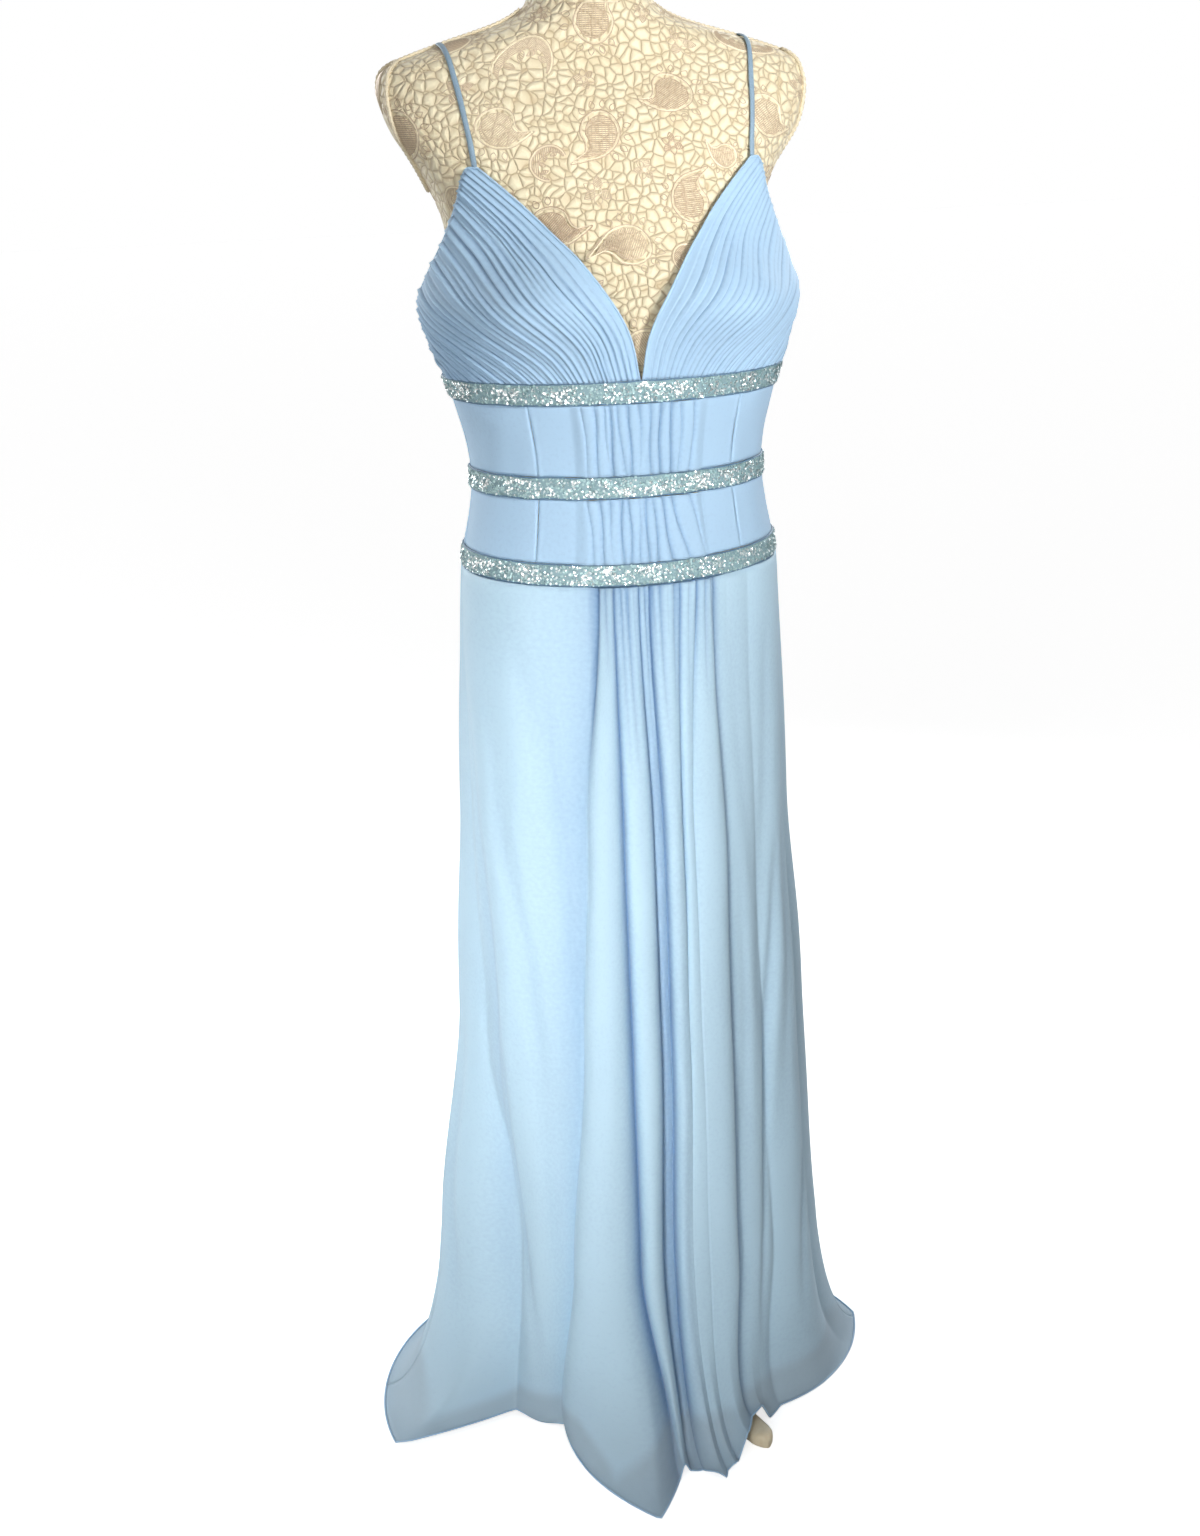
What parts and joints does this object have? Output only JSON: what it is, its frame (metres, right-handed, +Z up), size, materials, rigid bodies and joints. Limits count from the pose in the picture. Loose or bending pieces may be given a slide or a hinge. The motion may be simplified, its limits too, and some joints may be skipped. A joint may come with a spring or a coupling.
{
  "type": "ball gown on dress form",
  "caption": "Floor-length chiffon ball gown with pleated V-neck cups, beaded bands and a gathered skirt, standing on a limbless dress form with a tripod foot.",
  "frame": {"origin": "on the floor, under the middle of the whole object's box", "axes": "+Z up, -Y the gown's front, +X the viewer's right when facing the front"},
  "size_m": [0.543, 0.5802, 1.47],
  "materials": {
    "chiffon": "pale blue silk-like chiffon, fine crepe weave, soft sheen",
    "lining": "smooth pale blue lining with a satin sheen",
    "beaded_band": "net covered all over with silver and aqua sequins and seed beads",
    "zip_tape": "pale blue woven tape",
    "zip_metal": "pale blue enamelled metal",
    "form_cover": "cream and gold brocade with paisley and small flowers",
    "stand_wood": "pale lacquered beech"
  },
  "bodies": {
    "gown_on_form": {"cup_left": "chiffon", "cup_right": "chiffon", "top_back_left": "chiffon", "top_back_right": "chiffon", "strap_left": "chiffon", "strap_right": "chiffon", "band_top": "beaded_band", "band_middle": "beaded_band", "band_bottom": "beaded_band", "upper_front": "chiffon", "upper_side_left": "chiffon", "upper_back_left": "chiffon", "upper_side_right": "chiffon", "upper_back_right": "chiffon", "lower_front": "chiffon", "lower_side_left": "chiffon", "lower_back_left": "chiffon", "lower_side_right": "chiffon", "lower_back_right": "chiffon", "skirt_front": "chiffon", "skirt_back_left": "chiffon", "skirt_back_right": "chiffon", "skirt_lining": "lining", "zip_tape": "zip_tape", "zip_slider": "zip_metal", "form_torso": "form_cover", "pole": "stand_wood", "hub": "stand_wood", "leg_1": "stand_wood", "leg_2": "stand_wood", "leg_3": "stand_wood"},
    "pull": {"zip_pull": "zip_metal"}
  },
  "joints": [
    {"name": "pull_flip", "type": "hinge", "parent": "gown_on_form", "child": "pull", "pos_m": [0.02636, 0.13748, 1.1243], "axis": [1, 0, 0], "range_deg": [0, 170]}
  ]
}
